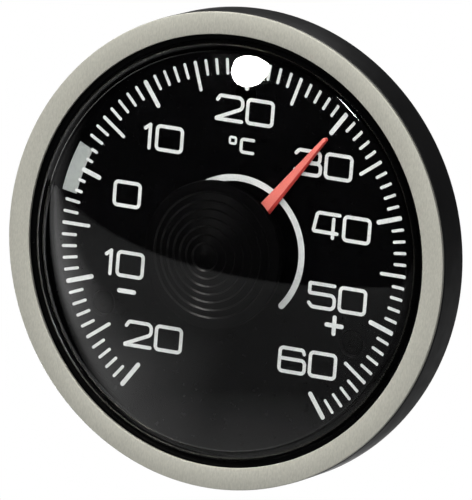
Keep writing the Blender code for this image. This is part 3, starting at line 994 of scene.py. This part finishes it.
def make_drum():
    """The hub's base: a cup round the coil, notched for the pointer and bored for the peg."""
    inner_r, bush_r, web = DRUM_R - 0.7, 1.39, DRUM_FRONT - 0.6
    corners = [
        (bush_r, DRUM_FRONT, 0),
        (DRUM_R, DRUM_FRONT, 0.08),
        (DRUM_R, DRUM_BACK, 0.12),
        (inner_r, DRUM_BACK, 0.08),
        (inner_r, web, 0.15),
        (bush_r, web, 0),
    ]
    notch_w, notch_reach, notch_top = 1.6, 2.1, POINTER_TOP + 0.1
    notch = block_tool(
        (notch_w, notch_reach, notch_top - DRUM_BACK + 1),
        (0, DRUM_R, (notch_top + DRUM_BACK - 1) / 2),
        POINTER_DEG,
    )
    peg_low, peg_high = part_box("coil_anchor_peg")
    peg = ((peg_low.x + peg_high.x) / 2 / MM, (peg_low.z + peg_high.z) / 2 / MM)
    hole_r, hole_foot, above = 0.35, 6.4, DRUM_FRONT + 1
    hole = [(0, above), (hole_r, above), (hole_r, hole_foot), (0, hole_foot)]
    tools = [("DIFFERENCE", notch), ("DIFFERENCE", round_tool(hole, 16, peg))]
    turned(
        "hub_base",
        rounded(corners, closed=True, step_deg=22),
        FINE,
        HUB_BLACK,
        "pointer",
        ["hub_drum"],
        tools,
    )


def make_pointer():
    """A tapering blade, its top split into a wide face and a ground flank."""
    root_r, tip_r = 5.75, 16.3
    half_root, half_tip = 0.72, 0.21
    steps, tip_steps = 24, 6
    stations = []
    for i in range(steps + 1):
        r = root_r + (tip_r - half_tip - root_r) * i / steps
        stations.append((r, half_root + (half_tip - half_root) * i / steps))
    for i in range(1, tip_steps):
        turn = math.pi / 2 * i / tip_steps
        stations.append((tip_r - half_tip + half_tip * math.sin(turn), half_tip * math.cos(turn)))
    turn = math.radians(POINTER_DEG)
    bm = bmesh.new()
    sections = []
    for r, half in stations:
        share = half / half_root
        bevel = 0.1 * share
        flank = 0.38 * half
        fall = 0.3 * share**0.5
        outline = [
            (-half, POINTER_BACK),
            (-half, POINTER_TOP - bevel * 1.2),
            (-half + bevel, POINTER_TOP - 0.02),
            (half - flank, POINTER_TOP),
            (half, POINTER_TOP - fall),
            (half, POINTER_BACK),
        ]
        section = []
        for side, z in outline:
            x = r * math.sin(turn) + side * math.cos(turn)
            y = r * math.cos(turn) - side * math.sin(turn)
            section.append(bm.verts.new(at(x, y, z)))
        sections.append(section)
    for first, second in zip(sections, sections[1:]):
        for i in range(len(first)):
            j = (i + 1) % len(first)
            face = bm.faces.new([first[i], first[j], second[j], second[i]])
            if i in (3, 4):  # the flank's slope and its side, which wear the darker red as painted shade
                face.material_index = 1
    bm.faces.new(sections[0])
    bm.faces.new(sections[-1])
    blade = finish_piece(
        "pointer", bm, POINTER_FACE_PAINTED_SHEEN, "pointer", ["pointer_blade"], smooth=14
    )
    blade.data.materials.append(POINTER_FLANK_PAINTED_SHADE)


# ---------------------------------------------------------------- carried-over CAD nodes


def dress_inner_parts():
    """Gives the parts inside the hub and the case, whose CAD shape stays, their metals."""
    for finish, names in (
        (BRASS, ("calibration_stud", "coil_collet", "drum_bush", "coil_anchor_peg")),
        (STEEL, ("stud_friction_washer", "stud_retaining_clip", "pivot_clip", "thrust_washer")),
        (BIMETAL, ("bimetal_coil",)),
    ):
        for name in names:
            nodes[name].material_slots[0].material = finish


# ---------------------------------------------------------------- floor, lights and camera


def ramp_node(tree, value, start, end, at_start, at_end):
    """at_start up to start, at_end from end on, and an even slope between."""
    node = tree.nodes.new("ShaderNodeMapRange")
    for name, number in zip(
        ("From Min", "From Max", "To Min", "To Max"), (start, end, at_start, at_end)
    ):
        node.inputs[name].default_value = number
    tree.links.new(value, node.inputs["Value"])
    return node.outputs["Result"]


def math_node(tree, operation, *values):
    """The operation on values that are numbers or sockets."""
    node = tree.nodes.new("ShaderNodeMath")
    node.operation = operation
    for value, socket in zip(values, node.inputs):
        if isinstance(value, float):
            socket.default_value = value
        else:
            tree.links.new(value, socket)
    return node.outputs["Value"]


def make_stage():
    """A floor that is plain white to the camera. The object mirrors it grey, with painted light
    making it paler in places.

    x, y and far, the distance from the middle, are in metres.
    """
    low, edge, back, side = -0.12, -0.5, 4.0, 3.0
    mesh = bpy.data.meshes.new("floor")
    mesh.from_pydata(
        [(-side, edge, low), (side, edge, low), (side, back, low), (-side, back, low)],
        [],
        [(0, 1, 2, 3)],
    )
    floor = bpy.data.objects.new("floor", mesh)
    bpy.context.scene.collection.objects.link(floor)
    material = bpy.data.materials.new("pale_floor")
    material.use_nodes = True
    tree = material.node_tree
    tree.nodes.clear()
    place = tree.nodes.new("ShaderNodeTexCoord").outputs["Object"]
    split = tree.nodes.new("ShaderNodeSeparateXYZ")
    away = tree.nodes.new("ShaderNodeVectorMath")
    away.operation = "LENGTH"
    tree.links.new(place, split.inputs["Vector"])
    tree.links.new(place, away.inputs[0])
    x, y, far = split.outputs["X"], split.outputs["Y"], away.outputs["Value"]

    # The dome's left edge mirrors what lies beyond this slanting line, painted dark as far as the
    # card
    sidelong = math_node(tree, "MULTIPLY_ADD", x, -0.2, y)
    leftward = ramp_node(tree, x, -0.03, -0.07, 0.0, 1.0)
    past_line = ramp_node(tree, sidelong, -0.0185, -0.006, 0.0, 1.0)
    beyond = math_node(tree, "MULTIPLY", leftward, past_line)
    within = math_node(tree, "SUBTRACT", 1.0, beyond)
    # In front the floor is painted paler near the middle and darker further out, a painted pool of
    # light
    front = math_node(tree, "MULTIPLY", within, ramp_node(tree, far, 0.125, 0.17, 0.6, 0.16))
    behind = ramp_node(tree, y, 0.02, 0.08, 0.0, 0.5)
    lit = tree.nodes.new("ShaderNodeBsdfDiffuse")
    tree.links.new(math_node(tree, "MAXIMUM", front, behind), lit.inputs["Color"])

    # Painted light: the floor glows to the left, and further back a glowing patch stands for a
    # white card with a bright band
    near_left = math_node(
        tree,
        "MULTIPLY",
        ramp_node(tree, x, -0.05, -0.13, 0.0, 0.38),
        ramp_node(tree, far, 0.16, 0.24, 1.0, 0.15),
    )
    streak = math_node(
        tree,
        "MULTIPLY",
        ramp_node(tree, x, -0.16, -0.185, 0.0, 12.0),
        ramp_node(tree, x, -0.28, -0.235, 0.0, 1.0),
    )
    left_card_glow = math_node(
        tree,
        "MULTIPLY",
        math_node(tree, "ADD", ramp_node(tree, x, -0.03, -0.07, 0.0, 1.6), streak),
        ramp_node(tree, y, 0.01, 0.04, 0.0, 1.0),
    )
    far_left = math_node(
        tree,
        "MULTIPLY",
        ramp_node(tree, x, -0.1, -0.3, 0.0, 1.0),
        ramp_node(tree, sidelong, -0.12, -0.02, 0.0, 0.75),
    )
    glow = tree.nodes.new("ShaderNodeEmission")
    haze_glow = math_node(tree, "MULTIPLY", within, math_node(tree, "ADD", near_left, far_left))
    pale = math_node(tree, "ADD", haze_glow, left_card_glow)
    tree.links.new(pale, glow.inputs["Strength"])
    seen = tree.nodes.new("ShaderNodeAddShader")
    tree.links.new(lit.outputs["BSDF"], seen.inputs[0])
    tree.links.new(glow.outputs["Emission"], seen.inputs[1])

    white = tree.nodes.new("ShaderNodeEmission")
    white.inputs["Strength"].default_value = 1.0
    output = tree.nodes.new("ShaderNodeOutputMaterial")
    mix_by_ray(
        tree, "Is Camera Ray", seen.outputs["Shader"], white.outputs["Emission"], output
    )
    mesh.materials.append(material)


def make_world():
    """A white studio to the camera. The object is in a dark room, paler behind and to the left."""
    world = bpy.data.worlds.new("studio")
    bpy.context.scene.world = world
    world.use_nodes = True
    tree = world.node_tree
    tree.nodes.clear()
    output = tree.nodes.new("ShaderNodeOutputWorld")
    place = tree.nodes.new("ShaderNodeTexCoord")
    split = tree.nodes.new("ShaderNodeSeparateXYZ")
    tree.links.new(place.outputs["Generated"], split.inputs["Vector"])
    x, y = split.outputs["X"], split.outputs["Y"]
    behind = ramp_node(tree, y, -0.05, 0.6, 0.001, 0.04)
    left = math_node(
        tree,
        "MULTIPLY",
        ramp_node(tree, x, -0.5, -0.9, 0.0, 1.0),
        ramp_node(tree, y, -0.3, 0.0, 0.0, 0.6),
    )
    room = tree.nodes.new("ShaderNodeBackground")
    white = tree.nodes.new("ShaderNodeBackground")
    room.inputs["Color"].default_value = (1.0, 1.0, 1.0, 1.0)
    white.inputs["Color"].default_value = (1.0, 1.0, 1.0, 1.0)
    tree.links.new(math_node(tree, "ADD", behind, left), room.inputs["Strength"])
    mix_by_ray(
        tree, "Is Camera Ray", room.outputs["Background"], white.outputs["Background"], output
    )


def make_lamp(
    name, azimuth, elevation, distance, size, radiance, shape, mirrored=True, lighting=True
):
    """A soft lamp. Azimuth 0 is in front of the dial, and positive to the right.

    A lamp that isn't lighting is only mirrored, and is a little warmer.
    """
    data = bpy.data.lights.new(name, "AREA")
    data.shape = shape
    data.size, data.size_y = size
    data.energy = radiance * math.pi * size[0] * size[1]
    data.color = (1.0, 1.0, 1.0) if lighting else (1.0, 0.98, 0.945)
    lamp = bpy.data.objects.new(name, data)
    bpy.context.scene.collection.objects.link(lamp)
    turn, rise = math.radians(azimuth), math.radians(elevation)
    place = Vector(
        (math.sin(turn) * math.cos(rise), -math.cos(turn) * math.cos(rise), math.sin(rise))
    )
    lamp.location = place * distance
    lamp.rotation_euler = (-place).to_track_quat("-Z", "Y").to_euler()
    lamp.visible_camera = False
    lamp.visible_glossy = mirrored
    lamp.visible_diffuse = lighting
    lamp.visible_transmission = False


def make_lights():
    """Two lamps for glare, one for the print and the pointer, and one from behind above."""
    make_lamp("key", -25.4, 39.8, 1.0, (0.185, 0.172), 86.0, "ELLIPSE", lighting=False)
    make_lamp("second", 40.0, 56.0, 1.1, (0.1, 0.22), 45.0, "RECTANGLE", lighting=False)
    make_lamp("fill", 18.0, 20.0, 1.4, (1.2, 1.2), 4.6, "RECTANGLE", mirrored=False)
    make_lamp("overhead", -150.0, 58.0, 1.0, (0.7, 0.7), 1.3, "RECTANGLE")


def make_camera():
    """The photograph's view: from 25 degrees to the right and 10 degrees above, slightly rolled."""
    azimuth, elevation, roll = (math.radians(a) for a in (25.22, 10.13, 4.52))
    pixels_per_mm, distance, picture_side = 9.744, 1000.0, 500
    look = Vector(
        (
            -math.sin(azimuth) * math.cos(elevation),
            math.cos(azimuth) * math.cos(elevation),
            -math.sin(elevation),
        )
    )
    level = Vector((math.cos(azimuth), math.sin(azimuth), 0))
    upright = level.cross(look)
    right = level * math.cos(roll) + upright * math.sin(roll)
    up = upright * math.cos(roll) - level * math.sin(roll)
    data = bpy.data.cameras.new("camera")
    data.sensor_width = 36.0
    data.lens = pixels_per_mm * distance / picture_side * data.sensor_width
    data.clip_start, data.clip_end = 0.05, 20.0
    camera = bpy.data.objects.new("camera", data)
    bpy.context.scene.collection.objects.link(camera)
    aim = at(0.295, -0.074, DIAL_FACE)  # the middle of the picture
    place = aim - look * distance * MM
    axes = Matrix((right, up, -look)).transposed().to_4x4()
    camera.matrix_world = Matrix.Translation(place) @ axes
    bpy.context.scene.camera = camera


make_case()
make_bezel()
make_pad()
make_dial()
make_rivets()
make_print()
make_crystal()
make_crystal_rings()
make_cap()
make_drum()
make_pointer()
dress_inner_parts()
make_stage()
make_world()
make_lights()
make_camera()
bpy.context.scene.view_settings.view_transform = "Standard"
